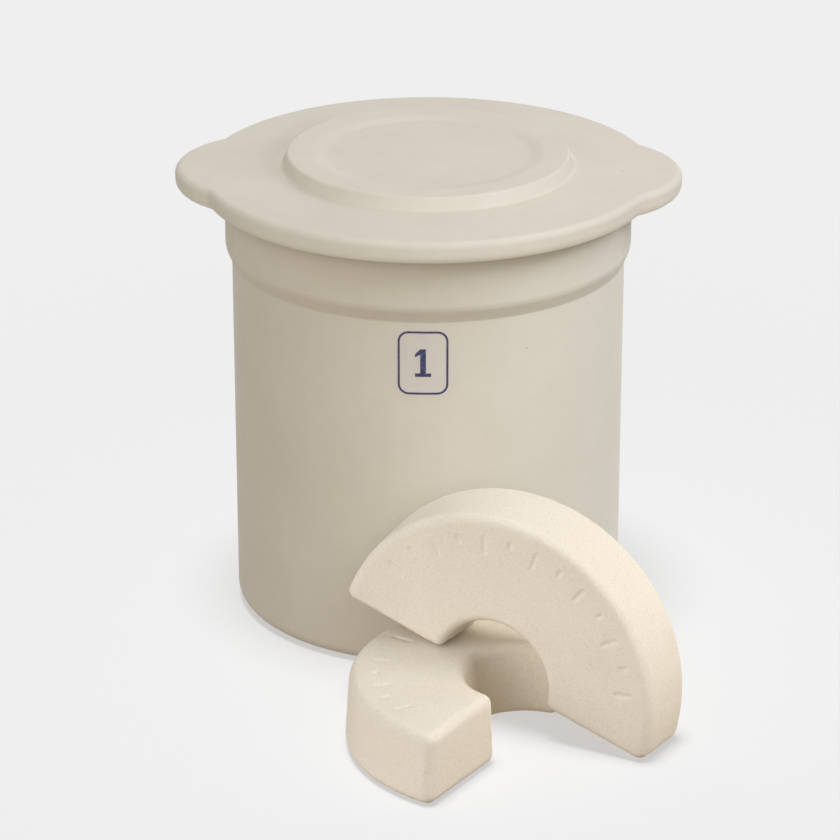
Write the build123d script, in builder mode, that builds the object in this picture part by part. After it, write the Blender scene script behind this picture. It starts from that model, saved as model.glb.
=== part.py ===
# One-gallon stoneware pickle crock with its lid and two half-ring weights.
#
# Millimetres, +Z up. The origin is the middle of the crock's flat base, and the
# viewer stands on the -Y side. The crock carries the lid on its rim. One weight
# lies flat on the ground in front of the crock, and the other stands upright on
# its cut edge, with one end on the ground and the other end on the flat weight.

import os
from math import asin, atan, cos, radians, sin, sqrt, tan

from build123d import *

os.makedirs("parts", exist_ok=True)

# Crock: a straight pot with a slight draft and a thicker band under its rim
crock_height = 206.0
foot_radius = 92.3
shoulder_radius = 93.0
foot_edge_radius = 7.0
wall = 8.5
floor_thickness = 10.0
floor_corner_radius = 10.0

# Rim band of the crock
band_height = 25.5
band_projection = 3.1
band_slope_height = 7.0
band_foot_radius = 2.5
band_shoulder_radius = 9.0
rim_edge_radius = 3.5

# Lid plate, with an ear at each side to lift it by
lid_overhang = 11.4
lid_thickness = 10.9
lid_top_edge_radius = 3.2
lid_bottom_edge_radius = 5.0
ear_reach = 12.0
ear_radius = 48.0
ear_blend_radius = 9.0
ear_turn = -2.6

# Raised disc in the middle of the lid, with a shallow dish in its top
disc_radius = 66.5
disc_rise = 7.7
disc_side_lean = 2.2
disc_crest_radius = 1.6
disc_foot_radius = 1.8
crown_rise = 1.3
crown_margin = 1.5
dish_radius = 54.0
dish_depth = 1.4
dish_slope_width = 6.0
dish_blend_radius = 12.0

# Underside of the lid: a ring that drops into the bore, and a recess inside it
ring_clearance = 1.8
ring_depth = 7.0
ring_width = 9.0
ring_lean = 1.2
ring_edge_radius = 1.8
ring_root = 1.5
recess_radius = 60.0
recess_depth = 6.0
recess_lean = 3.0
recess_corner_radius = 2.5

# Weights: two equal half rings, which go into the crock side by side. Their curved
# sides lean in towards the pressed face, as a mould needs it.
weight_clearance = 1.8
weight_hole_radius = 25.8
weight_thickness = 34.0
weight_side_lean = 2.2
weight_edge_radius = 4.5

# Tally ticks pressed into one face of each weight, long and short in turn
tick_count = 13
tick_sweep = 132.0
tick_length = 9.0
short_tick_share = 0.5
tick_width = 2.0
tick_depth = 0.8
tick_inset = 9.0

# How the loose weights stand in front of the crock
flat_gap = 0.2
flat_bearing = -75.4
flat_turn = 58.0
rest_gap = 0.3
leaning_gap = 0.5
leg_gap = 5.0
leaning_turn = -27.5

# Sizes that follow from the ones above
bore_radius = shoulder_radius - wall
bore_floor_radius = foot_radius - wall
band_radius = shoulder_radius + band_projection
band_bottom = crock_height - band_height
lid_radius = band_radius + lid_overhang
lid_top = crock_height + lid_thickness
disc_top = lid_top + disc_rise
ring_radius = bore_radius - ring_clearance
weight_radius = bore_floor_radius - weight_clearance
weight_face_radius = weight_radius - weight_side_lean


def turned(points, corner_radii, mode=Mode.ADD):
    """Turn a closed profile of radius and height points about the crock's axis.
    Each corner is rounded to its own radius, and stays sharp where that is zero."""
    with BuildSketch(Plane.XZ) as section:
        with BuildLine():
            Polyline(*points, close=True)
        make_face()
        for point, corner_radius in zip(points, corner_radii):
            if corner_radius > 0:
                fillet(section.vertices().sort_by_distance(point)[0], radius=corner_radius)
    revolve(section.sketch, axis=Axis.Z, mode=mode)


# Crock
with BuildPart() as crock:
    turned(
        [
            (0, 0),
            (foot_radius, 0),
            (shoulder_radius, band_bottom - band_slope_height),
            (band_radius, band_bottom),
            (band_radius, crock_height),
            (bore_radius, crock_height),
            (bore_floor_radius, floor_thickness),
            (0, floor_thickness),
        ],
        [
            0,
            foot_edge_radius,
            band_foot_radius,
            band_shoulder_radius,
            rim_edge_radius,
            rim_edge_radius,
            floor_corner_radius,
            0,
        ],
    )

crock.part.label = "crock"
export_step(crock.part, "parts/crock.step")


# Lid
ear_centre = lid_radius + ear_reach - ear_radius
plate_plane = Plane.XY.offset(crock_height).rotated((0, 0, ear_turn))
crown_radius = lid_radius - lid_top_edge_radius - crown_margin
recess_top = crock_height + recess_depth
dish_floor = disc_top - dish_depth

with BuildPart() as lid:
    # Plate with its two ears, rounded along all its outer edges
    with BuildSketch(plate_plane) as plate:
        Circle(lid_radius)
        with Locations((ear_centre, 0), (-ear_centre, 0)):
            Circle(ear_radius)
        necks = plate.vertices().filter_by(lambda vertex: abs(vertex.Y) > ear_radius / 2)
        fillet(necks, radius=ear_blend_radius)
    extrude(amount=lid_thickness)
    fillet(lid.edges().group_by(Axis.Z)[-1], radius=lid_top_edge_radius)
    fillet(lid.edges().group_by(Axis.Z)[0], radius=lid_bottom_edge_radius)

    # Gentle crown of the plate, and the raised disc with its shallow dish
    turned(
        [
            (0, recess_top),
            (crown_radius, recess_top),
            (crown_radius, lid_top),
            (disc_radius + disc_side_lean, lid_top + crown_rise),
            (disc_radius, disc_top),
            (dish_radius, disc_top),
            (dish_radius - dish_slope_width, dish_floor),
            (0, dish_floor),
        ],
        [
            0,
            0,
            0,
            disc_foot_radius,
            disc_crest_radius,
            dish_blend_radius,
            dish_blend_radius,
            0,
        ],
    )

    # Ring that keeps the lid in the middle of the bore
    turned(
        [
            (ring_radius, crock_height + ring_root),
            (ring_radius, crock_height),
            (ring_radius - ring_lean, crock_height - ring_depth),
            (ring_radius - ring_width + ring_lean, crock_height - ring_depth),
            (ring_radius - ring_width, crock_height),
            (ring_radius - ring_width, crock_height + ring_root),
        ],
        [0, 0, ring_edge_radius, ring_edge_radius, 0, 0],
    )

    # Recess in the underside, below the raised disc
    turned(
        [
            (0, crock_height),
            (recess_radius, crock_height),
            (recess_radius - recess_lean, recess_top),
            (0, recess_top),
        ],
        [0, 0, recess_corner_radius, 0],
        mode=Mode.SUBTRACT,
    )

lid.part.label = "lid"
export_step(lid.part, "parts/lid.step")


# Weights
def half_ring(plane):
    """Half ring with rounded edges. Its cut edge lies along the plane's X axis, its
    arch rises along the plane's Y axis, and its pressed face looks along Z."""
    section_plane = Plane(origin=plane.origin, x_dir=plane.x_dir, z_dir=-plane.y_dir)
    with BuildSketch(section_plane) as section:
        with BuildLine():
            Polyline(
                (weight_hole_radius, 0),
                (weight_radius, 0),
                (weight_face_radius, weight_thickness),
                (weight_hole_radius + weight_side_lean, weight_thickness),
                close=True,
            )
        make_face()
    ring = revolve(section.sketch, axis=Axis(plane.origin, plane.z_dir), revolution_arc=180)
    fillet(ring.edges(), radius=weight_edge_radius)


def press_ticks(plane):
    """Press the long ticks, and the short ones between them, into the upper face."""
    pitch = tick_sweep / (tick_count - 1)
    start = (180 - tick_sweep) / 2
    long_count = (tick_count + 1) // 2
    rows = [
        (start, long_count, tick_length),
        (start + pitch, tick_count - long_count, short_tick_share * tick_length),
    ]
    for row_start, count, length in rows:
        row_radius = weight_face_radius - tick_inset - length / 2
        row_sweep = 2 * pitch * (count - 1)
        with BuildSketch(plane.offset(weight_thickness)) as row:
            with PolarLocations(row_radius, count, row_start, row_sweep, endpoint=True):
                SlotOverall(length, tick_width)
        extrude(row.sketch, amount=-tick_depth, mode=Mode.SUBTRACT)


# The flat weight lies on the ground, just clear of the crock's wall
flat_distance = foot_radius + flat_gap + weight_radius
flat_centre = Vector(flat_distance, 0).rotate(Axis.Z, flat_bearing)
flat_plane = Plane(origin=flat_centre, x_dir=Vector(1, 0).rotate(Axis.Z, flat_turn), z_dir=(0, 0, 1))

with BuildPart() as weight_flat:
    half_ring(flat_plane)
    press_ticks(flat_plane)

weight_flat.part.label = "weight_flat"
export_step(weight_flat.part, "parts/weight_flat.step")


# The leaning weight stands on two rounded corners of its cut edge. The outer
# corner of its right end is on the ground, and the inner corner of its left end
# is on the flat weight, so its roll follows from how far apart they are. Both rest
# close to the back face, where the half ring is widest.
side_angle = atan(weight_side_lean / weight_thickness)
corner = weight_edge_radius
corner_inset = corner * tan(side_angle) + corner / cos(side_angle)
outer_corner = sqrt((weight_radius - corner_inset) ** 2 - corner**2)
inner_corner = sqrt((weight_hole_radius + corner_inset) ** 2 - corner**2)
roll = asin((weight_thickness + rest_gap) / (outer_corner + inner_corner))
leaning_height = outer_corner * sin(roll) - corner * cos(roll) + corner

# Seen from above, its right leg clears the end of the flat weight that it stands
# beside, and the plane of its back face clears the crock's widest wall.
along = Vector(1, 0).rotate(Axis.Z, leaning_turn)
outward = Vector(0, -1).rotate(Axis.Z, leaning_turn)
flat_end = weight_hole_radius * cos(radians(flat_turn - leaning_turn))
leaning_along = flat_centre.dot(along) + flat_end - weight_hole_radius + leg_gap
leaning_outward = shoulder_radius + leaning_gap
leaning_origin = along * leaning_along + outward * leaning_outward + Vector(0, 0, leaning_height)
leaning_x = along * cos(roll) - Vector(0, 0, 1) * sin(roll)
leaning_plane = Plane(origin=leaning_origin, x_dir=leaning_x, z_dir=outward)

with BuildPart() as weight_leaning:
    half_ring(leaning_plane)
    press_ticks(leaning_plane)

weight_leaning.part.label = "weight_leaning"
export_step(weight_leaning.part, "parts/weight_leaning.step")
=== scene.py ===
# %% [markdown]
# # A pickle crock with its lid and two weights
#
# This lesson dresses four loose stoneware pieces: a glazed crock, its glazed lid and two
# half-ring weights of bare, sandy clay. Their true places and sizes come from a packed
# CAD model, so the first step loads that model and keeps its parts.
# Everything is in metres, with the crock's axis on Z and the viewer on the -Y side.

# %% Load the imported model
from math import atan2, cos, hypot, pi, radians, sin, sqrt

import bmesh
import bpy
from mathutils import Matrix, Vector


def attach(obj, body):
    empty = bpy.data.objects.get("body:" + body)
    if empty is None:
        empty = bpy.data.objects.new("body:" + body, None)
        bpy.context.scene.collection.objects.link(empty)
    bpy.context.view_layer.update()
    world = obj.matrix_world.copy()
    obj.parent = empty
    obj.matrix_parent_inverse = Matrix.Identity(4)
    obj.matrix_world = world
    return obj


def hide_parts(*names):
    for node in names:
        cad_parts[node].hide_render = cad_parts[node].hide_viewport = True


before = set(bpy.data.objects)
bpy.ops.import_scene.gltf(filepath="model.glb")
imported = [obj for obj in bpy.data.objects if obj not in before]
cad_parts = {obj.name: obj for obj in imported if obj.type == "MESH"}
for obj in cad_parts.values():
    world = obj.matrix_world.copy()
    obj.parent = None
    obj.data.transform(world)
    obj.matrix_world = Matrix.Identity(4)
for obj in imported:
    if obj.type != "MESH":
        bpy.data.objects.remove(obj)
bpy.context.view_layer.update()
print("nodes:", sorted(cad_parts))

# %% [markdown]
# ## The camera and the light
#
# The photograph was taken from some way off and looks down at the crock by 22 degrees, so
# a long lens stands 2.2 m away. The light of such a product picture is broad and soft: it
# comes from the upper right, leaves the left side of the pot in half shade, and the ground
# shows only soft shadows close to the pieces. Most of the lamps are suns with a wide disc,
# which gives that softness evenly over the whole scene. A softbox that stands nearby on
# the right adds the stronger light of that side.

# %% Place the camera
camera_data = bpy.data.cameras.new("camera")
camera_data.sensor_width = 36.0
camera_data.lens = 192.86
camera = bpy.data.objects.new("camera", camera_data)
bpy.context.scene.collection.objects.link(camera)
camera.location = (-0.0039, -2.0087, 0.9055)
camera.rotation_euler = (radians(67.85), 0.0, 0.0)
bpy.context.scene.camera = camera
bpy.context.scene.view_settings.view_transform = "Standard"
print("camera at", tuple(round(value, 3) for value in camera.location))

# %% [markdown]
# In the photograph the light on the weights is stronger than on the crock behind them, so
# the weights have their own lamps here, and light linking keeps them apart. The lid has
# its own too, but for another reason: under the crock's lamps the side of its raised disc
# comes out too bright. That is a correction, and not something that the photo shows. All
# of them draw on the same few places: a square softbox that stands close on the right, and
# suns with wide discs around it. A sun's place is the direction it shines from, with the
# width of its disc in degrees. One of the lid's lamps shines from below, and stands in for
# light that the pale ground throws back at the rim. The floor has a lamp almost straight
# above it, so that its shadows stay close and short.

# %% Hang the lamps
BOX_PLACE = (0.92, -0.42, 0.68)
BOX_AIM = (0.0, -0.05, 0.11)
BOX_SIZE = 0.5
SUN_PLACES = {
    "front": ((0.10, -1.0, 0.25), 100),
    "front_low": ((0.15, -1.0, 0.05), 40),
    "left": ((-0.70, -0.65, 0.40), 90),
    "left_low": ((-0.80, -0.60, 0.10), 60),
    "edge": ((0.60, -0.35, 0.80), 35),
    "high": ((0.60, 0.20, 0.75), 60),
    "top": ((0.10, 0.30, 1.0), 60),
    "back": ((0.10, 1.0, 0.12), 50),
    "below": ((0.15, -1.0, -0.35), 60),
    "floor": ((-0.04, -0.03, 1.0), 22),
}


def add_lamp(group, place, strength, colour):
    """The softbox on the right, or a sun in one of the named places."""
    kind = "AREA" if place == "box" else "SUN"
    data = bpy.data.lights.new(f"{group}_{place}", kind)
    data.energy = strength
    data.color = colour
    lamp = bpy.data.objects.new(data.name, data)
    if place == "box":
        data.size = BOX_SIZE
        lamp.location = BOX_PLACE
        towards_light = Vector(BOX_PLACE) - Vector(BOX_AIM)
    else:
        direction, disc_angle = SUN_PLACES[place]
        data.angle = radians(disc_angle)
        towards_light = Vector(direction)
    lamp.rotation_euler = towards_light.to_track_quat("Z", "Y").to_euler()
    bpy.context.scene.collection.objects.link(lamp)
    return lamp


crock_lamps = [
    add_lamp("crock", "box", 2.5, (0.84, 0.91, 1.0)),
    add_lamp("crock", "front", 1.15, (1.0, 0.945, 0.860)),
    add_lamp("crock", "left", 1.50, (1.0, 0.980, 0.970)),
    add_lamp("crock", "edge", 2.05, (0.88, 0.93, 1.0)),
    add_lamp("crock", "high", 0.85, (0.86, 0.92, 1.0)),
    add_lamp("crock", "back", 1.90, (1.0, 0.960, 0.920)),
]
lid_lamps = [
    add_lamp("lid", "box", 5.8, (0.92, 0.905, 1.0)),
    add_lamp("lid", "front_low", 1.85, (1.0, 1.0, 1.0)),
    add_lamp("lid", "left_low", 1.26, (1.0, 1.0, 0.975)),
    add_lamp("lid", "top", 1.90, (1.0, 0.972, 0.955)),
    add_lamp("lid", "back", 0.30, (1.0, 0.930, 0.860)),
]
rim_lamp = add_lamp("lid", "below", 0.85, (0.90, 0.96, 1.0))
lid_lamps.append(rim_lamp)
clay_lamps = [
    add_lamp("clay", "box", 8.2, (1.0, 0.977, 0.945)),
    add_lamp("clay", "left", 2.25, (0.945, 0.965, 1.0)),
    add_lamp("clay", "left_low", 0.85, (1.0, 0.935, 0.860)),
    add_lamp("clay", "high", 0.78, (0.975, 0.965, 1.0)),
    add_lamp("clay", "back", 1.00, (1.0, 0.960, 0.920)),
]
floor_lamp = add_lamp("studio", "floor", 3.02, (0.975, 0.985, 1.0))
print("lamps:", len(crock_lamps), len(lid_lamps), len(clay_lamps), "and one for the floor")

# %% [markdown]
# The sky around the scene is the pale studio wall. A light path test gives it one plain
# pale grey wherever the camera, a mirror or a glass sees it, and a dimmer, softer level
# where it only adds light to the pieces. The floor uses the same test further down.

# %% Paint the studio around the scene
PALE_GREY = 0.863


def add_seen_test(tree):
    """One where the camera, a mirror or a glass sees the surface, and zero elsewhere."""
    light_path = tree.nodes.new("ShaderNodeLightPath")
    seen = light_path.outputs["Is Camera Ray"]
    for ray in ("Is Glossy Ray", "Is Transmission Ray"):
        either = tree.nodes.new("ShaderNodeMath")
        either.operation = "MAXIMUM"
        tree.links.new(seen, either.inputs[0])
        tree.links.new(light_path.outputs[ray], either.inputs[1])
        seen = either.outputs[0]
    return seen


world = bpy.data.worlds.new("studio")
world.use_nodes = True
bpy.context.scene.world = world
world_nodes = world.node_tree.nodes
world_links = world.node_tree.links
world_nodes.clear()
ambient = world_nodes.new("ShaderNodeBackground")
ambient.inputs["Color"].default_value = (1.0, 1.0, 1.0, 1.0)
ambient.inputs["Strength"].default_value = 0.10
wall_colour = world_nodes.new("ShaderNodeBackground")
wall_colour.inputs["Color"].default_value = (PALE_GREY, PALE_GREY, PALE_GREY, 1.0)
wall_colour.inputs["Strength"].default_value = 1.0
ambient_or_wall = world_nodes.new("ShaderNodeMixShader")
world_output = world_nodes.new("ShaderNodeOutputWorld")
world_links.new(add_seen_test(world.node_tree), ambient_or_wall.inputs["Fac"])
world_links.new(ambient.outputs[0], ambient_or_wall.inputs[1])
world_links.new(wall_colour.outputs[0], ambient_or_wall.inputs[2])
world_links.new(ambient_or_wall.outputs[0], world_output.inputs["Surface"])
print("studio grey:", PALE_GREY)

# %% [markdown]
# ## Small helpers for modelling by hand
#
# An operator works on whatever is selected, so these helpers make one object active and
# pick its faces or edges by where they are. Heights and radii count as the same within a
# small tolerance. A finished piece has its origin at the origin of the scene, with its
# place in its mesh, and a report tells how far it reaches.

# %% Select, edit and settle
SAME_HEIGHT = 2e-5
SAME_RADIUS = 2e-4


def take(piece):
    """Deselect everything and make this piece the active one."""
    bpy.ops.object.select_all(action="DESELECT")
    piece.select_set(True)
    bpy.context.view_layer.objects.active = piece


def select_where(kind, test):
    """In edit mode, select only what passes the test, and count it."""
    modes = {"verts": "VERT", "edges": "EDGE", "faces": "FACE"}
    bpy.ops.mesh.select_mode(type=modes[kind])
    bpy.ops.mesh.select_all(action="DESELECT")
    data = bpy.context.edit_object.data
    mesh = bmesh.from_edit_mesh(data)
    chosen = [element for element in getattr(mesh, kind) if test(element)]
    for element in chosen:
        element.select_set(True)
    mesh.select_flush_mode()
    bmesh.update_edit_mesh(data)
    return len(chosen)


def settle(piece):
    """Move the piece's place, turn and size into its mesh."""
    take(piece)
    bpy.ops.object.transform_apply(location=True, rotation=True, scale=True)


def report(piece):
    """Print how many faces the piece has and how far it reaches, in millimetres."""
    corners = [vertex.co for vertex in piece.data.vertices]
    lowest = [round(1000 * min(corner[axis] for corner in corners), 1) for axis in range(3)]
    highest = [round(1000 * max(corner[axis] for corner in corners), 1) for axis in range(3)]
    print(piece.name, len(piece.data.polygons), "faces, from", lowest, "to", highest)


# %% [markdown]
# ## The crock
#
# The real crock is thrown or jiggered: a straight pot with a slight draft, a thicker band
# under the rim and soft edges everywhere, because glaze never stays on a sharp one. It
# could be one profile spun round its axis. Here it grows from a disc, ring by ring, as it
# would on the wheel: each ring is an extrusion with its own height and radius, and the
# bends are rounded afterwards with a bevel along the whole ring.

# %% Raise the wall of the crock from a disc
STEPS = 256
FOOT_RADIUS = 0.0923
SHOULDER_RADIUS = 0.0930
BAND_RADIUS = 0.0961
BORE_RADIUS = 0.0845
BORE_FLOOR_RADIUS = 0.0838
FLOOR_HEIGHT = 0.0100
SLOPE_FOOT = 0.1735
BAND_FOOT = 0.1805
RIM_HEIGHT = 0.2060
CROCK_RINGS = [
    (SHOULDER_RADIUS, SLOPE_FOOT),
    (BAND_RADIUS, BAND_FOOT),
    (BAND_RADIUS, RIM_HEIGHT),
    (BORE_RADIUS, RIM_HEIGHT),
    (BORE_FLOOR_RADIUS, FLOOR_HEIGHT),
]


def raise_ring(radius, height, next_radius, next_height):
    """Extrude the selected face to a ring of another radius and height."""
    rise = {"value": (0.0, 0.0, next_height - height)}
    bpy.ops.mesh.extrude_region_move(TRANSFORM_OT_translate=rise)
    share = next_radius / radius
    bpy.ops.transform.resize(value=(share, share, 1.0), center_override=(0.0, 0.0, next_height))


bpy.ops.mesh.primitive_circle_add(vertices=STEPS, radius=FOOT_RADIUS, fill_type="NGON")
crock = bpy.context.object
crock.name = "crock_body"
take(crock)
bpy.ops.object.mode_set(mode="EDIT")
bpy.ops.mesh.select_mode(type="FACE")
bpy.ops.mesh.select_all(action="SELECT")
radius_now = FOOT_RADIUS
height_now = 0.0
for ring_radius, ring_height in CROCK_RINGS:
    raise_ring(radius_now, height_now, ring_radius, ring_height)
    radius_now = ring_radius
    height_now = ring_height
bpy.ops.object.mode_set(mode="OBJECT")
report(crock)

# %% [markdown]
# A ring that turns sharply gets a bevel as wide as its radius asks for. The width of a
# bevel is measured from the old edge, so for a bend that is not square it is the radius
# times the tangent of half the turn.


# %% Round the rings of the crock
def ring_edges(radius, height):
    """A test for the edges that lie on the ring of this radius and height."""

    def lies_on_it(edge):
        return all(
            abs(hypot(vertex.co.x, vertex.co.y) - radius) < SAME_RADIUS
            and abs(vertex.co.z - height) < SAME_HEIGHT
            for vertex in edge.verts
        )

    return lies_on_it


def round_ring(radius, height, width, segments):
    """Bevel the edges of one ring."""
    select_where("edges", ring_edges(radius, height))
    bpy.ops.mesh.bevel(offset=width, segments=segments, affect="EDGES", clamp_overlap=False)


take(crock)
bpy.ops.object.mode_set(mode="EDIT")
round_ring(FOOT_RADIUS, 0.0, 0.0070, 8)
round_ring(SHOULDER_RADIUS, SLOPE_FOOT, 0.0005, 3)
round_ring(BAND_RADIUS, BAND_FOOT, 0.0019, 6)
round_ring(BAND_RADIUS, RIM_HEIGHT, 0.0035, 7)
round_ring(BORE_RADIUS, RIM_HEIGHT, 0.0035, 7)
round_ring(BORE_FLOOR_RADIUS, FLOOR_HEIGHT, 0.0100, 8)
bpy.ops.mesh.select_all(action="SELECT")
bpy.ops.mesh.normals_make_consistent(inside=False)
bpy.ops.object.mode_set(mode="OBJECT")
report(crock)

# %% [markdown]
# ## The lid
#
# The lid is a thick plate with a lifting ear at each side. Its outline is nothing but
# arcs: two long ones of the plate, one round each ear, and four small hollow ones where
# an ear meets the plate. Spinning a single vertex about the centre of each arc draws the
# outline exactly, and each arc starts where the last one ended.

# %% Work out the arcs of the lid's outline
LID_RADIUS = 0.1075
EAR_RADIUS = 0.0480
EAR_CENTRE = 0.0715
NECK_RADIUS = 0.0090
EAR_TURN = radians(-2.6)
to_neck = LID_RADIUS + NECK_RADIUS
ear_to_neck = EAR_RADIUS + NECK_RADIUS
neck_x = (EAR_CENTRE**2 + to_neck**2 - ear_to_neck**2) / (2 * EAR_CENTRE)
neck_y = sqrt(to_neck**2 - neck_x**2)
plate_angle = atan2(neck_y, neck_x)
ear_angle = atan2(neck_y, neck_x - EAR_CENTRE)
neck_angle = plate_angle - ear_angle
OUTLINE_ARCS = [
    ((0.0, 0.0), pi - 2 * plate_angle, 96),
    ((-neck_x, neck_y), neck_angle, 8),
    ((-EAR_CENTRE, 0.0), 2 * ear_angle, 64),
    ((-neck_x, -neck_y), neck_angle, 8),
    ((0.0, 0.0), pi - 2 * plate_angle, 96),
    ((neck_x, -neck_y), neck_angle, 8),
    ((EAR_CENTRE, 0.0), 2 * ear_angle, 64),
    ((neck_x, neck_y), neck_angle, 8),
]
print("the hollow between plate and ear is centred at", round(neck_x, 4), round(neck_y, 4))

# %% [markdown]
# The last arc ends where the first one began. The doubled points are merged, one face
# closes the outline, and an extrusion makes it as thick as the plate.

# %% Draw the outline and give it its thickness
LID_TOP = 0.2169
first_point = (LID_RADIUS * cos(plate_angle), LID_RADIUS * sin(plate_angle), RIM_HEIGHT)
bpy.ops.mesh.primitive_plane_add(size=0.001, location=first_point)
lid = bpy.context.object
lid.name = "lid_cover"
settle(lid)
bpy.ops.object.mode_set(mode="EDIT")
bpy.ops.mesh.select_mode(type="VERT")
bpy.ops.mesh.select_all(action="SELECT")
bpy.ops.mesh.merge(type="CENTER")
for centre, arc_angle, arc_steps in OUTLINE_ARCS:
    bpy.ops.mesh.spin(
        steps=arc_steps,
        angle=arc_angle,
        center=(centre[0], centre[1], RIM_HEIGHT),
        axis=(0.0, 0.0, -1.0),
    )
bpy.ops.mesh.select_all(action="SELECT")
bpy.ops.mesh.remove_doubles(threshold=1e-5)
bpy.ops.mesh.edge_face_add()
thicken = {"value": (0.0, 0.0, LID_TOP - RIM_HEIGHT)}
bpy.ops.mesh.extrude_region_move(TRANSFORM_OT_translate=thicken)
bpy.ops.object.mode_set(mode="OBJECT")
report(lid)

# %% [markdown]
# The long edges of the plate are rounded first. Then its flat top is drawn in to a true
# circle with To Sphere, and the crown, the raised disc and its shallow dish grow from
# that circle ring by ring, as the crock did. A ring's name holds its radius and height.

# %% Round the plate and raise the disc in its middle
CROWN_EDGE = (0.1028, LID_TOP)
DISC_FOOT = (0.0687, 0.2182)
DISC_EDGE = (0.0665, 0.2246)
DISH_EDGE = (0.0540, 0.2246)
DISH_FLOOR = (0.0480, 0.2232)


def at_height(height):
    """A test for the edges that lie at this height."""

    def lies_there(edge):
        return all(abs(vertex.co.z - height) < SAME_HEIGHT for vertex in edge.verts)

    return lies_there


def cap_at(height, up):
    """A test for the flat face of over 100 corners that looks up or down at this height."""

    def is_cap(face):
        return (
            len(face.verts) > 100
            and abs(face.calc_center_median().z - height) < SAME_HEIGHT
            and face.normal.z * up > 0.9
        )

    return is_cap


def draw_in_to_circle(height, up, radius):
    """Draw the flat cap in to a circle of this radius."""
    select_where("faces", cap_at(height, up))
    bpy.ops.mesh.extrude_region_move(TRANSFORM_OT_translate={"value": (0.0, 0.0, 0.0)})
    bpy.ops.transform.tosphere(value=1.0, center_override=(0.0, 0.0, height))
    mesh = bmesh.from_edit_mesh(bpy.context.edit_object.data)
    reaches = [hypot(vertex.co.x, vertex.co.y) for vertex in mesh.verts if vertex.select]
    share = radius * len(reaches) / sum(reaches)
    bpy.ops.transform.resize(value=(share, share, 1.0), center_override=(0.0, 0.0, height))


take(lid)
bpy.ops.object.mode_set(mode="EDIT")
bpy.ops.mesh.select_all(action="SELECT")
bpy.ops.mesh.normals_make_consistent(inside=False)
select_where("edges", at_height(LID_TOP))
bpy.ops.mesh.bevel(offset=0.0032, segments=7, affect="EDGES", clamp_overlap=False)
select_where("edges", at_height(RIM_HEIGHT))
bpy.ops.mesh.bevel(offset=0.0050, segments=8, affect="EDGES", clamp_overlap=False)
draw_in_to_circle(LID_TOP, 1, CROWN_EDGE[0])
raise_ring(*CROWN_EDGE, *DISC_FOOT)
raise_ring(*DISC_FOOT, *DISC_EDGE)
raise_ring(*DISC_EDGE, *DISH_EDGE)
raise_ring(*DISH_EDGE, *DISH_FLOOR)
bpy.ops.object.mode_set(mode="OBJECT")
report(lid)

# %% [markdown]
# Under the lid a ring drops into the bore and keeps the lid in the middle, and the clay
# inside it is hollowed out to save weight. Neither shows in the photograph, so both are
# plain and as shallow as such a lid has them.

# %% Lower the ring under the lid and hollow it
RING_ROOT = (0.0827, RIM_HEIGHT)
RING_TIP = (0.0815, 0.1990)
RING_INNER_TIP = (0.0749, 0.1990)
RING_INNER_ROOT = (0.0737, RIM_HEIGHT)
RECESS_EDGE = (0.0600, RIM_HEIGHT)
RECESS_FLOOR = (0.0570, 0.2120)
take(lid)
bpy.ops.object.mode_set(mode="EDIT")
draw_in_to_circle(RIM_HEIGHT, -1, RING_ROOT[0])
raise_ring(*RING_ROOT, *RING_TIP)
raise_ring(*RING_TIP, *RING_INNER_TIP)
raise_ring(*RING_INNER_TIP, *RING_INNER_ROOT)
raise_ring(*RING_INNER_ROOT, *RECESS_EDGE)
raise_ring(*RECESS_EDGE, *RECESS_FLOOR)
round_ring(*DISC_FOOT, 0.0012, 5)
round_ring(*DISC_EDGE, 0.0011, 5)
round_ring(*DISH_EDGE, 0.0014, 5)
round_ring(*DISH_FLOOR, 0.0014, 5)
round_ring(*RING_TIP, 0.0015, 5)
round_ring(*RING_INNER_TIP, 0.0015, 5)
round_ring(*RECESS_EDGE, 0.0010, 4)
round_ring(*RECESS_FLOOR, 0.0015, 5)
bpy.ops.mesh.select_all(action="SELECT")
bpy.ops.mesh.normals_make_consistent(inside=False)
bpy.ops.object.mode_set(mode="OBJECT")
lid.rotation_euler = (0.0, 0.0, EAR_TURN)
settle(lid)
report(lid)

# %% [markdown]
# Both glazed pieces are shaded smooth. A weighted normal modifier keeps the wide flat
# faces flat and lets only the narrow rounded edges turn the light.


# %% Shade the glazed pieces smooth
def shade_soft(piece):
    """Smooth shading that leaves wide flat faces flat."""
    take(piece)
    bpy.ops.object.shade_smooth()
    modifier = piece.modifiers.new("weighted_normals", "WEIGHTED_NORMAL")
    modifier.weight = 50
    bpy.ops.object.modifier_apply(modifier=modifier.name)


shade_soft(crock)
shade_soft(lid)
print("shaded:", crock.name, lid.name)

# %% [markdown]
# ## The weights
#
# The two weights are equal half rings of pressed, unglazed clay. Their section leans in
# towards the pressed face, as a mould needs it, and has soft corners. So a plane is drawn
# in at its face, gets round corners, and is spun half a turn. The widths of its bevels
# follow from the edge's radius by the same rule as on the crock.

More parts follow.
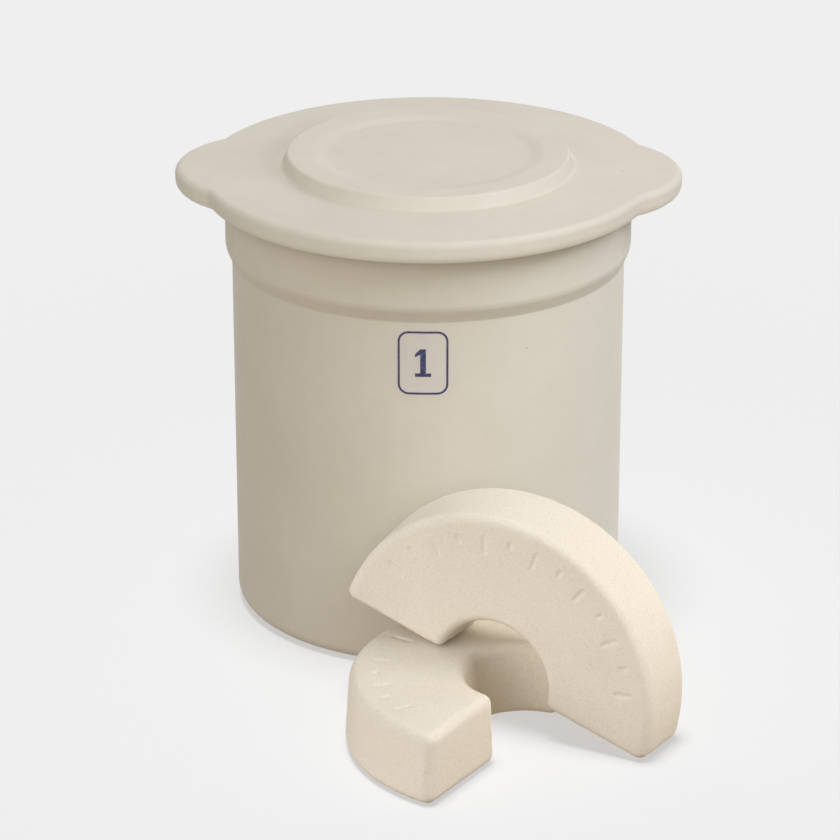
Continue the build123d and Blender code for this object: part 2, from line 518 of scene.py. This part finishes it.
# %% Spin the half ring
WEIGHT_RADIUS = 0.0820
HOLE_RADIUS = 0.0258
SIDE_LEAN = 0.0022
WEIGHT_THICKNESS = 0.0340
EDGE_RADIUS = 0.0045
BACK_BEVEL = 0.0048
FACE_BEVEL = 0.0042
section_middle = (WEIGHT_RADIUS + HOLE_RADIUS) / 2
section_width = WEIGHT_RADIUS - HOLE_RADIUS
face_share = (section_width - 2 * SIDE_LEAN) / section_width
bpy.ops.mesh.primitive_plane_add(
    size=1.0,
    location=(section_middle, 0.0, WEIGHT_THICKNESS / 2),
    rotation=(pi / 2, 0.0, 0.0),
)
weight = bpy.context.object
weight.name = "weight_leaning_clay"
weight.scale = (section_width, WEIGHT_THICKNESS, 1.0)
settle(weight)
bpy.ops.object.mode_set(mode="EDIT")
select_where("verts", lambda vertex: vertex.co.z > WEIGHT_THICKNESS / 2)
face_middle = (section_middle, 0.0, WEIGHT_THICKNESS)
bpy.ops.transform.resize(value=(face_share, 1.0, 1.0), center_override=face_middle)
for height, width in ((0.0, BACK_BEVEL), (WEIGHT_THICKNESS, FACE_BEVEL)):
    select_where("verts", lambda vertex: abs(vertex.co.z - height) < SAME_HEIGHT)
    bpy.ops.mesh.bevel(offset=width, segments=6, affect="VERTICES", offset_type="OFFSET")
bpy.ops.mesh.select_mode(type="FACE")
bpy.ops.mesh.select_all(action="SELECT")
bpy.ops.mesh.spin(steps=120, angle=pi, center=(0.0, 0.0, 0.0), axis=(0.0, 0.0, -1.0))
bpy.ops.mesh.select_all(action="SELECT")
bpy.ops.mesh.normals_make_consistent(inside=False)
bpy.ops.object.mode_set(mode="OBJECT")
report(weight)

# %% [markdown]
# The cut ends are rounded too: the ring is trimmed a little short with a bisection, and
# each end face steps inwards and outwards along a quarter circle until it reaches full
# length.

# %% Trim the cut ends and round them
END_STEPS = 6
take(weight)
bpy.ops.object.mode_set(mode="EDIT")
bpy.ops.mesh.select_all(action="SELECT")
bpy.ops.mesh.bisect(
    plane_co=(0.0, EDGE_RADIUS, 0.0),
    plane_no=(0.0, 1.0, 0.0),
    use_fill=True,
    clear_inner=True,
)
select_where("faces", lambda face: face.normal.y < -0.99 and len(face.verts) > 8)
for step in range(END_STEPS):
    before = radians(90.0 * step / END_STEPS)
    after = radians(90.0 * (step + 1) / END_STEPS)
    bpy.ops.mesh.inset(
        thickness=EDGE_RADIUS * (cos(before) - cos(after)),
        depth=EDGE_RADIUS * (sin(after) - sin(before)),
        use_even_offset=True,
    )
bpy.ops.object.mode_set(mode="OBJECT")
report(weight)

# %% [markdown]
# A row of ticks, long and short in turn, is pressed into one face of each weight. A
# rounded peg is made for each tick and turned to its place on the ring. Then all of them
# are joined and cut away from the clay with one boolean modifier.

# %% Press the ticks into the clay
TICKS = 13
TICK_SWEEP = radians(132.0)
LONG_TICK = 0.0090
SHORT_TICK = 0.0045
TICK_INSET = 0.0090
TICK_WIDTH = 0.0020
PEG_HEIGHT = 0.0012
PEG_CORNER = 0.00095


def add_tick_peg(number):
    """A rounded peg that stands where tick number is pressed in."""
    length = LONG_TICK if number % 2 == 0 else SHORT_TICK
    reach = WEIGHT_RADIUS - SIDE_LEAN - TICK_INSET - length / 2
    angle = (pi - TICK_SWEEP) / 2 + number * TICK_SWEEP / (TICKS - 1)
    bpy.ops.mesh.primitive_cube_add(size=1.0, location=(reach, 0.0, WEIGHT_THICKNESS))
    peg = bpy.context.object
    peg.scale = (length, TICK_WIDTH, PEG_HEIGHT)
    settle(peg)
    bpy.ops.object.mode_set(mode="EDIT")
    select_where("edges", lambda edge: abs(edge.verts[0].co.z - edge.verts[1].co.z) > 0.001)
    bpy.ops.mesh.bevel(offset=PEG_CORNER, segments=4, affect="EDGES")
    bpy.ops.object.mode_set(mode="OBJECT")
    peg.rotation_euler = (0.0, 0.0, angle)
    settle(peg)
    return peg


pegs = [add_tick_peg(number) for number in range(TICKS)]
bpy.ops.object.select_all(action="DESELECT")
for peg in pegs:
    peg.select_set(True)
bpy.context.view_layer.objects.active = pegs[0]
bpy.ops.object.join()
take(weight)
cut = weight.modifiers.new("ticks", "BOOLEAN")
cut.operation = "DIFFERENCE"
cut.solver = "EXACT"
cut.object = pegs[0]
bpy.ops.object.modifier_apply(modifier=cut.name)
bpy.data.objects.remove(pegs[0])
report(weight)

# %% [markdown]
# Pressed clay has no crisp edge anywhere. A voxel remesh turns the ring into one even
# skin of small squares, and a few rounds of smoothing soften every edge and tick. The
# even skin is also what the sandy grain needs: it is real relief, so it has to have
# enough points to move.

# %% Turn the ring into an even skin of clay
take(weight)
weight.data.remesh_voxel_size = 0.00070
weight.data.use_remesh_fix_poles = True
bpy.ops.object.voxel_remesh()
soften = weight.modifiers.new("soften", "SMOOTH")
soften.factor = 0.5
soften.iterations = 3
bpy.ops.object.modifier_apply(modifier=soften.name)
bpy.ops.object.shade_smooth()
report(weight)

# %% [markdown]
# The second weight is a copy with its own mesh, and lies flat on the ground. The first one
# stands on its cut edge, rolled by nearly 19 degrees, with one end on the ground and the
# other end on the flat weight. Both places come from the CAD model.

# %% Set both weights down where they stand
bpy.ops.object.duplicate()
weight_flat = bpy.context.object
weight_flat.name = "weight_flat_clay"
weight_flat.location = (0.043986, -0.168865, 0.0)
weight_flat.rotation_euler = (0.0, 0.0, radians(58.0))
settle(weight_flat)
weight.location = (0.043943, -0.128286, 0.024864)
weight.rotation_euler = (radians(90.0), radians(18.636), radians(-27.5))
settle(weight)
report(weight_flat)
report(weight)

# %% [markdown]
# The sandy grain comes after the weights are in place, so that the two don't carry the
# same pattern. One cloudy texture gives the uneven skin of a pressed piece, and a finer
# one gives the grain of the sand itself.


# %% Roughen the clay
def roughen(piece, name, size, height):
    """Move the skin in and out by a procedural cloud texture."""
    texture = bpy.data.textures.new(name, "CLOUDS")
    texture.noise_scale = size
    texture.noise_depth = 2
    modifier = piece.modifiers.new(name, "DISPLACE")
    modifier.texture = texture
    modifier.texture_coords = "LOCAL"
    modifier.strength = height
    modifier.mid_level = 0.5
    take(piece)
    bpy.ops.object.modifier_apply(modifier=modifier.name)


for clay in (weight, weight_flat):
    roughen(clay, "uneven_skin", size=0.0160, height=0.00036)
    roughen(clay, "sand_grain", size=0.0018, height=0.00022)
    report(clay)

# %% [markdown]
# ## The capacity mark
#
# Such a crock carries a small cobalt stamp under its glaze that tells how many gallons it
# holds. Here it is a plain numeral in a plain frame. Both are drawn flat in front of the
# crock, pressed onto its wall with a shrinkwrap modifier, and given the thickness of a
# thick coat of colour.

# %% Draw the frame of the mark
MARK_CENTRE = (-0.0025, -0.1200, 0.1537)
FRAME_WIDTH = 0.0232
FRAME_HEIGHT = 0.0310
FRAME_CORNER = 0.0050
FRAME_LINE = 0.00095
bpy.ops.mesh.primitive_plane_add(size=1.0, location=MARK_CENTRE, rotation=(pi / 2, 0.0, 0.0))
mark = bpy.context.object
mark.name = "capacity_mark"
mark.scale = (FRAME_WIDTH, FRAME_HEIGHT, 1.0)
settle(mark)
bpy.ops.object.mode_set(mode="EDIT")
bpy.ops.mesh.select_mode(type="VERT")
bpy.ops.mesh.select_all(action="SELECT")
bpy.ops.mesh.bevel(offset=FRAME_CORNER, segments=8, affect="VERTICES")
bpy.ops.mesh.select_mode(type="FACE")
bpy.ops.mesh.select_all(action="SELECT")
bpy.ops.mesh.inset(thickness=FRAME_LINE, depth=0.0)
bpy.ops.mesh.delete(type="FACE")
bpy.ops.object.mode_set(mode="OBJECT")
report(mark)

# %% [markdown]
# The numeral is one upright bar. Two bisections mark off its foot and its top. The side
# edges of the foot are pulled out on both sides. At the top only the left one is, and it
# slopes down and gets shorter, which makes the flag.

# %% Draw the numeral
BAR_WIDTH = 0.0026
BAR_HEIGHT = 0.0135
ARM_REACH = 0.0024
FLAG_DROP = 0.0019
FLAG_SHARE = 0.62
bpy.ops.mesh.primitive_plane_add(size=1.0, location=MARK_CENTRE, rotation=(pi / 2, 0.0, 0.0))
numeral = bpy.context.object
numeral.name = "numeral"
numeral.scale = (BAR_WIDTH, BAR_HEIGHT, 1.0)
settle(numeral)
bpy.ops.object.mode_set(mode="EDIT")
foot_line = MARK_CENTRE[2] - 0.0051
flag_line = MARK_CENTRE[2] + 0.0042
for line in (foot_line, flag_line):
    bpy.ops.mesh.select_all(action="SELECT")
    bpy.ops.mesh.bisect(plane_co=(0.0, 0.0, line), plane_no=(0.0, 0.0, 1.0))


def side_edge(side, low, high):
    """A test for the upright side edge between two heights."""

    def is_side(edge):
        middle = (edge.verts[0].co + edge.verts[1].co) / 2
        upright = abs(edge.verts[0].co.z - edge.verts[1].co.z) > 0.0005
        return upright and low < middle.z < high and side * (middle.x - MARK_CENTRE[0]) > 0.001

    return is_side


for side in (-1, 1):
    select_where("edges", side_edge(side, 0.0, foot_line))
    pull = {"value": (side * ARM_REACH, 0.0, 0.0)}
    bpy.ops.mesh.extrude_region_move(TRANSFORM_OT_translate=pull)
select_where("edges", side_edge(-1, flag_line, 1.0))
droop = {"value": (-ARM_REACH, 0.0, -FLAG_DROP)}
bpy.ops.mesh.extrude_region_move(TRANSFORM_OT_translate=droop)
flag_tip = (0.0, MARK_CENTRE[1], MARK_CENTRE[2] + 0.0036)
bpy.ops.transform.resize(value=(1.0, 1.0, FLAG_SHARE), center_override=flag_tip)
bpy.ops.object.mode_set(mode="OBJECT")
report(numeral)

# %% [markdown]
# The frame and the numeral become one piece. It is subdivided, so that it can bend, then
# projected straight back onto the round wall, and given the thickness of its coat.

# %% Press the mark onto the crock
bpy.ops.object.select_all(action="DESELECT")
numeral.select_set(True)
mark.select_set(True)
bpy.context.view_layer.objects.active = mark
bpy.ops.object.join()
take(mark)
bpy.ops.object.mode_set(mode="EDIT")
bpy.ops.mesh.select_all(action="SELECT")
bpy.ops.mesh.subdivide(number_cuts=7)
bpy.ops.object.mode_set(mode="OBJECT")
press = mark.modifiers.new("press", "SHRINKWRAP")
press.target = crock
press.wrap_method = "PROJECT"
press.use_project_y = True
press.use_positive_direction = True
press.use_negative_direction = False
press.wrap_mode = "ABOVE_SURFACE"
press.offset = 0.00012
bpy.ops.object.modifier_apply(modifier=press.name)
coat = mark.modifiers.new("coat", "SOLIDIFY")
coat.thickness = 0.00020
coat.offset = -1.0
bpy.ops.object.modifier_apply(modifier=coat.name)
bpy.ops.object.mode_set(mode="EDIT")
bpy.ops.mesh.select_all(action="SELECT")
bpy.ops.mesh.normals_make_consistent(inside=False)
bpy.ops.object.mode_set(mode="OBJECT")
bpy.ops.object.shade_smooth_by_angle(angle=radians(40.0))
report(mark)

# %% [markdown]
# ## Small helpers for materials
#
# Every finish is built from the same few nodes: a noise at the object's own coordinates,
# a range that stretches it, a mix of two colours, and a bump for relief too fine to model.


# %% Helpers for the materials
def new_material(name):
    """A material with its shader, ready for nodes."""
    material = bpy.data.materials.new(name)
    material.use_nodes = True
    tree = material.node_tree
    return material, tree, tree.nodes["Principled BSDF"]


def add_noise(tree, place, scale, detail, roughness):
    """A noise texture at the object's own coordinates."""
    noise = tree.nodes.new("ShaderNodeTexNoise")
    noise.inputs["Scale"].default_value = scale
    noise.inputs["Detail"].default_value = detail
    noise.inputs["Roughness"].default_value = roughness
    tree.links.new(place.outputs["Object"], noise.inputs["Vector"])
    return noise


def add_range(tree, source, low_in, high_in, low_out, high_out):
    """Stretch a value from one range to another, and clamp it there."""
    stretch = tree.nodes.new("ShaderNodeMapRange")
    stretch.inputs["From Min"].default_value = low_in
    stretch.inputs["From Max"].default_value = high_in
    stretch.inputs["To Min"].default_value = low_out
    stretch.inputs["To Max"].default_value = high_out
    tree.links.new(source, stretch.inputs["Value"])
    return stretch.outputs["Result"]


def add_mix(tree, share, first, second):
    """Mix two colours. Each is a colour or another node's output."""
    mix = tree.nodes.new("ShaderNodeMix")
    mix.data_type = "RGBA"
    tree.links.new(share, mix.inputs["Factor"])
    for socket, colour in ((mix.inputs[6], first), (mix.inputs[7], second)):
        if isinstance(colour, tuple):
            socket.default_value = (*colour, 1.0)
        else:
            tree.links.new(colour, socket)
    return mix.outputs[2]


def add_bump(tree, height, distance, strength, below=None):
    """Turn a height into relief, on top of the relief below it."""
    bump = tree.nodes.new("ShaderNodeBump")
    bump.inputs["Distance"].default_value = distance
    bump.inputs["Strength"].default_value = strength
    tree.links.new(height, bump.inputs["Height"])
    if below is not None:
        tree.links.new(below, bump.inputs["Normal"])
    return bump.outputs["Normal"]


print("material helpers are ready")

# %% [markdown]
# ## The glaze
#
# The glaze is a warm, pale buff with a satin surface, neither matte nor mirror-like. Its
# colour drifts a little over the pot, where the coat is thicker or thinner, and a finer
# mottle lies over that.

# %% Mix the glaze
GLAZE_DARK = (0.608, 0.568, 0.486)
GLAZE_PALE = (0.636, 0.596, 0.513)
GLAZE_MOTTLE = (0.580, 0.535, 0.455)
glaze, glaze_tree, glaze_shader = new_material("satin_glaze")
glaze_place = glaze_tree.nodes.new("ShaderNodeTexCoord")
drift = add_noise(glaze_tree, glaze_place, 14.0, 2.0, 0.5)
drift_share = add_range(glaze_tree, drift.outputs["Fac"], 0.35, 0.65, 0.0, 1.0)
glaze_colour = add_mix(glaze_tree, drift_share, GLAZE_DARK, GLAZE_PALE)
mottle = add_noise(glaze_tree, glaze_place, 120.0, 4.0, 0.6)
mottle_share = add_range(glaze_tree, mottle.outputs["Fac"], 0.40, 0.75, 0.0, 0.35)
glaze_colour = add_mix(glaze_tree, mottle_share, glaze_colour, GLAZE_MOTTLE)
print("glaze nodes with the drift and the mottle:", len(glaze_tree.nodes))

# %% [markdown]
# Iron in the clay bleeds through the glaze as a few tiny dark specks. Each is the middle
# of a Voronoi cell. A cell also has a random colour of its own, and only the few cells
# with a high red keep their speck, so the specks stay rare and scattered.

# %% Sprinkle the iron specks
IRON_SPECK = (0.150, 0.110, 0.080)
specks = glaze_tree.nodes.new("ShaderNodeTexVoronoi")
specks.inputs["Scale"].default_value = 110.0
specks.inputs["Randomness"].default_value = 1.0
glaze_tree.links.new(glaze_place.outputs["Object"], specks.inputs["Vector"])
speck_dot = add_range(glaze_tree, specks.outputs["Distance"], 0.045, 0.065, 1.0, 0.0)
speck_split = glaze_tree.nodes.new("ShaderNodeSeparateColor")
glaze_tree.links.new(specks.outputs["Color"], speck_split.inputs["Color"])
speck_chosen = add_range(glaze_tree, speck_split.outputs["Red"], 0.94, 0.95, 0.0, 0.60)
speck_share = glaze_tree.nodes.new("ShaderNodeMath")
speck_share.operation = "MULTIPLY"
glaze_tree.links.new(speck_dot, speck_share.inputs[0])
glaze_tree.links.new(speck_chosen, speck_share.inputs[1])
glaze_colour = add_mix(glaze_tree, speck_share.outputs[0], glaze_colour, IRON_SPECK)
print("glaze nodes with the specks:", len(glaze_tree.nodes))

# %% [markdown]
# Around the cobalt mark a little of the blue has bled into the glaze. The bleed fades with
# the distance from the middle of the mark, and stays on the front of the crock, because
# the distance counts the depth too.

# %% Let the cobalt bleed a little
GLAZE_BLUED = (0.545, 0.520, 0.530)
WALL_AT_MARK = (MARK_CENTRE[0], -SHOULDER_RADIUS, MARK_CENTRE[2])
bleed_offset = glaze_tree.nodes.new("ShaderNodeVectorMath")
bleed_offset.operation = "SUBTRACT"
bleed_offset.inputs[1].default_value = WALL_AT_MARK
glaze_tree.links.new(glaze_place.outputs["Object"], bleed_offset.inputs[0])
bleed_distance = glaze_tree.nodes.new("ShaderNodeVectorMath")
bleed_distance.operation = "LENGTH"
glaze_tree.links.new(bleed_offset.outputs["Vector"], bleed_distance.inputs[0])
bleed = add_range(glaze_tree, bleed_distance.outputs["Value"], 0.0120, 0.0210, 0.30, 0.0)
glaze_colour = add_mix(glaze_tree, bleed, glaze_colour, GLAZE_BLUED)
glaze_tree.links.new(glaze_colour, glaze_shader.inputs["Base Color"])
print("the bleed is centred at", WALL_AT_MARK)

# %% [markdown]
# The skin of the glaze is satin. Its gloss drifts a little, and two reliefs lie over each
# other: the slow ripple that a dipped glaze keeps, and a much finer orange peel.

# %% Give the glaze its satin skin
sheen_drift = add_noise(glaze_tree, glaze_place, 35.0, 3.0, 0.5)
sheen = add_range(glaze_tree, sheen_drift.outputs["Fac"], 0.3, 0.7, 0.42, 0.52)
glaze_tree.links.new(sheen, glaze_shader.inputs["Roughness"])
glaze_shader.inputs["Specular IOR Level"].default_value = 0.12
ripple = add_noise(glaze_tree, glaze_place, 22.0, 2.0, 0.5)
ripple_normal = add_bump(glaze_tree, ripple.outputs["Fac"], 0.0008, 0.35)
peel = add_noise(glaze_tree, glaze_place, 420.0, 2.0, 0.5)
peel_normal = add_bump(glaze_tree, peel.outputs["Fac"], 0.00006, 0.5, ripple_normal)
glaze_tree.links.new(peel_normal, glaze_shader.inputs["Normal"])
print("glaze nodes:", len(glaze_tree.nodes))

# %% [markdown]
# The crock's foot and the land of the lid that sits on the rim were wiped clean before
# the firing, so that the pieces don't fuse to the kiln shelf or to each other. There the
# bare clay shows, rougher and a little darker than the glaze.

# %% Mix the bare clay of the foot
FOOT_DARK = (0.480, 0.400, 0.300)
FOOT_PALE = (0.570, 0.490, 0.380)
foot_clay, foot_tree, foot_shader = new_material("wiped_foot_clay")
foot_place = foot_tree.nodes.new("ShaderNodeTexCoord")
foot_cloud = add_noise(foot_tree, foot_place, 60.0, 5.0, 0.6)
foot_share = add_range(foot_tree, foot_cloud.outputs["Fac"], 0.35, 0.65, 0.0, 1.0)
foot_colour = add_mix(foot_tree, foot_share, FOOT_DARK, FOOT_PALE)
foot_tree.links.new(foot_colour, foot_shader.inputs["Base Color"])
foot_shader.inputs["Roughness"].default_value = 0.85
foot_grain = add_noise(foot_tree, foot_place, 700.0, 3.0, 0.6)
foot_normal = add_bump(foot_tree, foot_grain.outputs["Fac"], 0.0003, 0.6)
foot_tree.links.new(foot_normal, foot_shader.inputs["Normal"])
print("foot clay nodes:", len(foot_tree.nodes))

# %% [markdown]
# Each glazed piece gets the glaze all over, and then the bare clay on the faces that were
# wiped. Those are found by where they lie and which way they look.


# %% Coat the crock and the lid
def wipe_bare(piece, test):
    """Give the faces that pass the test the piece's second material."""
    take(piece)
    piece.active_material_index = 1
    bpy.ops.object.mode_set(mode="EDIT")
    wiped = select_where("faces", test)
    bpy.ops.object.material_slot_assign()
    bpy.ops.object.mode_set(mode="OBJECT")
    print(piece.name, "has", wiped, "bare faces")


def on_foot(face):
    """The flat underside of the crock."""
    return face.normal.z < -0.9 and face.calc_center_median().z < 0.001


def on_land(face):
    """The part of the lid's underside that sits on the rim."""
    middle = face.calc_center_median()
    return face.normal.z < -0.99 and abs(middle.z - RIM_HEIGHT) < SAME_HEIGHT


for piece, test in ((crock, on_foot), (lid, on_land)):
    piece.data.materials.append(glaze)
    piece.data.materials.append(foot_clay)
    wipe_bare(piece, test)

# %% [markdown]
# ## The bare clay of the weights
#
# The weights are unglazed, with the look of fine sandstone: cream clay with tan and pale
# grains half a millimetre wide, quite matte. The grains are noises of different sizes,
# because one size alone looks like a print.

# %% Mix the sandy clay
SAND_DARK = (0.795, 0.725, 0.612)
SAND_PALE = (0.825, 0.762, 0.652)
TAN_GRAIN = (0.610, 0.515, 0.390)
PALE_GRAIN = (0.850, 0.795, 0.710)
sandy, sandy_tree, sandy_shader = new_material("sandy_clay")
sandy_place = sandy_tree.nodes.new("ShaderNodeTexCoord")
cloud = add_noise(sandy_tree, sandy_place, 28.0, 3.0, 0.5)
cloud_share = add_range(sandy_tree, cloud.outputs["Fac"], 0.35, 0.65, 0.0, 1.0)
sandy_colour = add_mix(sandy_tree, cloud_share, SAND_DARK, SAND_PALE)
grain = add_noise(sandy_tree, sandy_place, 950.0, 3.0, 0.6)
grain_share = add_range(sandy_tree, grain.outputs["Fac"], 0.48, 0.72, 0.0, 0.36)
sandy_colour = add_mix(sandy_tree, grain_share, sandy_colour, TAN_GRAIN)
dust = add_noise(sandy_tree, sandy_place, 1300.0, 2.0, 0.5)
dust_share = add_range(sandy_tree, dust.outputs["Fac"], 0.50, 0.72, 0.0, 0.60)
sandy_colour = add_mix(sandy_tree, dust_share, sandy_colour, PALE_GRAIN)
sandy_tree.links.new(sandy_colour, sandy_shader.inputs["Base Color"])
sandy_shader.inputs["Roughness"].default_value = 0.92
sandy_shader.inputs["Specular IOR Level"].default_value = 0.25
sandy_fine = add_noise(sandy_tree, sandy_place, 900.0, 3.0, 0.7)
sandy_normal = add_bump(sandy_tree, sandy_fine.outputs["Fac"], 0.00035, 0.5)
sandy_tree.links.new(sandy_normal, sandy_shader.inputs["Normal"])
for clay in (weight, weight_flat):
    clay.data.materials.clear()
    clay.data.materials.append(sandy)
print("sandy clay nodes:", len(sandy_tree.nodes))

# %% [markdown]
# ## The cobalt of the mark
#
# Cobalt stamped under a glaze is a dark, slightly purple navy. It is never quite even: the
# ink lies thinner in places, and the pale glaze shows through.

# %% Mix the cobalt
COBALT_FULL = (0.018, 0.022, 0.080)
COBALT_THIN = (0.120, 0.125, 0.230)
cobalt, cobalt_tree, cobalt_shader = new_material("cobalt_stamp")
cobalt_place = cobalt_tree.nodes.new("ShaderNodeTexCoord")
thin_ink = add_noise(cobalt_tree, cobalt_place, 900.0, 2.0, 0.6)
thin_share = add_range(cobalt_tree, thin_ink.outputs["Fac"], 0.42, 0.70, 0.0, 0.55)
cobalt_colour = add_mix(cobalt_tree, thin_share, COBALT_FULL, COBALT_THIN)
cobalt_tree.links.new(cobalt_colour, cobalt_shader.inputs["Base Color"])
cobalt_shader.inputs["Roughness"].default_value = 0.45
mark.data.materials.clear()
mark.data.materials.append(cobalt)
print("cobalt nodes:", len(cobalt_tree.nodes))

# %% [markdown]
# ## The floor
#
# The floor is pale and plain. Close to the pieces it is partly a matte surface that takes
# their soft shadows and partly an even glow, which keeps those shadows as faint as a pale
# studio floor has them. Further out the glow takes over, so that no horizon shows. The
# camera sees the glow in the grey of the wall, and the pieces receive it as warm light
# from below. The floor lies a little below zero, because the rough clay dips below it too.

# %% Lay the floor
FLOOR_LEVEL = -0.0004
FLOOR_WARMTH = (0.370, 0.300, 0.220)
bpy.ops.mesh.primitive_plane_add(size=8.0, location=(0.0, 0.0, FLOOR_LEVEL))
floor = bpy.context.object
floor.name = "studio_floor"
settle(floor)
floor_material, floor_tree, floor_shader = new_material("pale_floor")
floor_tree.nodes.remove(floor_shader)
floor_output = floor_tree.nodes["Material Output"]
floor_place = floor_tree.nodes.new("ShaderNodeTexCoord")
matte = floor_tree.nodes.new("ShaderNodeBsdfDiffuse")
matte.inputs["Color"].default_value = (0.80, 0.80, 0.80, 1.0)
floor_seen = add_seen_test(floor_tree)
glow_colour = add_mix(floor_tree, floor_seen, FLOOR_WARMTH, (PALE_GREY, PALE_GREY, PALE_GREY))
glow = floor_tree.nodes.new("ShaderNodeEmission")
floor_tree.links.new(glow_colour, glow.inputs["Color"])
distance = floor_tree.nodes.new("ShaderNodeVectorMath")
distance.operation = "LENGTH"
floor_tree.links.new(floor_place.outputs["Object"], distance.inputs[0])
glow_share = add_range(floor_tree, distance.outputs["Value"], 0.30, 0.60, 0.60, 1.0)
hidden = add_range(floor_tree, floor_seen, 0.0, 1.0, 1.0, 0.0)
plain_glow = floor_tree.nodes.new("ShaderNodeMath")
plain_glow.operation = "MAXIMUM"
floor_tree.links.new(glow_share, plain_glow.inputs[0])
floor_tree.links.new(hidden, plain_glow.inputs[1])
matte_or_glow = floor_tree.nodes.new("ShaderNodeMixShader")
floor_tree.links.new(plain_glow.outputs[0], matte_or_glow.inputs["Fac"])
floor_tree.links.new(matte.outputs[0], matte_or_glow.inputs[1])
floor_tree.links.new(glow.outputs[0], matte_or_glow.inputs[2])
floor_tree.links.new(matte_or_glow.outputs[0], floor_output.inputs["Surface"])
floor.data.materials.append(floor_material)
print("floor is", floor.dimensions.x, "m wide")

# %% [markdown]
# ## Tie the pieces to the model
#
# Every piece rides on the body that carries it in the CAD model, and stands for the plain
# solid there. The mark rides on the crock.

# %% Ride on the bodies and replace the solids
for piece, body, slot_name in (
    (crock, "crock", "glaze"),
    (lid, "lid", "glaze"),
    (weight_flat, "weight_flat", "bisque"),
    (weight, "weight_leaning", "bisque"),
):
    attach(piece, body)
    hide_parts(body)
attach(mark, "crock")
print("riding:", crock.name, lid.name, weight_flat.name, weight.name, mark.name)

# %% [markdown]
# Now that all the pieces are made, the lamps can be told which ones they light, by a
# collection for each group. Two lamps also get a collection of the pieces that stop their
# light. The floor's lamp shines through the lid, so the shadows stay close to the foot.
# The lamp below the lid isn't stopped by the floor.

# %% Aim the lamps
for name, lamps, pieces in (
    ("lit_crock", crock_lamps, (crock, mark)),
    ("lit_lid", lid_lamps, (lid,)),
    ("lit_clay", clay_lamps, (weight, weight_flat)),
):
    lit_pieces = bpy.data.collections.new(name)
    for piece in pieces:
        lit_pieces.objects.link(piece)
    for lamp in lamps:
        lamp.light_linking.receiver_collection = lit_pieces
lit_floor = bpy.data.collections.new("lit_floor")
lit_floor.objects.link(floor)
floor_lamp.light_linking.receiver_collection = lit_floor
shading_pieces = bpy.data.collections.new("shading_pieces")
for piece in (crock, weight, weight_flat):
    shading_pieces.objects.link(piece)
floor_lamp.light_linking.blocker_collection = shading_pieces
pieces_only = bpy.data.collections.new("pieces_only")
for piece in (crock, lid, weight, weight_flat):
    pieces_only.objects.link(piece)
rim_lamp.light_linking.blocker_collection = pieces_only
